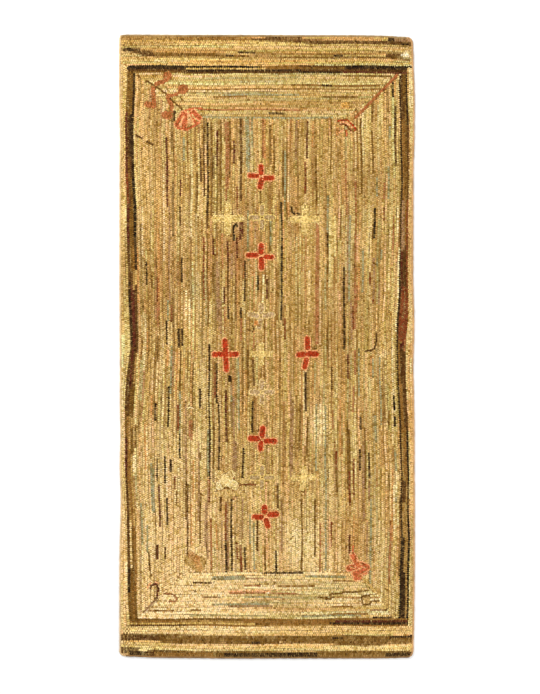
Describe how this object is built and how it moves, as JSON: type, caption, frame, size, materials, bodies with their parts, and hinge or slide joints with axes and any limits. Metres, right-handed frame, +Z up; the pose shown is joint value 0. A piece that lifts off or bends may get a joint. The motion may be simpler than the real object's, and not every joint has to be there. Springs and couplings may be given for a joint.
{
  "type": "hooked rug",
  "caption": "Flat oblong hooked rug with short striped loop pile, dark frame lines, small petal flowers and a narrow bound edge; it lies on a floor.",
  "frame": {"origin": "middle of the rug's underside, on the floor", "axes": "+Z up out of the pile, +Y along the rug towards the picture's top end, +X across it to the picture's right"},
  "size_m": [0.867, 1.829, 0.008],
  "materials": {
    "hooked_loops": "worn rag loops in straw, tan, brown, grey-green and red stripes, no shine",
    "binding_cloth": "faded plain-woven tan-brown tape, no shine"
  },
  "bodies": {
    "root": {"rug_body": "hooked_loops", "binding_left": "binding_cloth", "binding_right": "binding_cloth", "binding_top": "binding_cloth", "binding_bottom": "binding_cloth"}
  },
  "joints": []
}
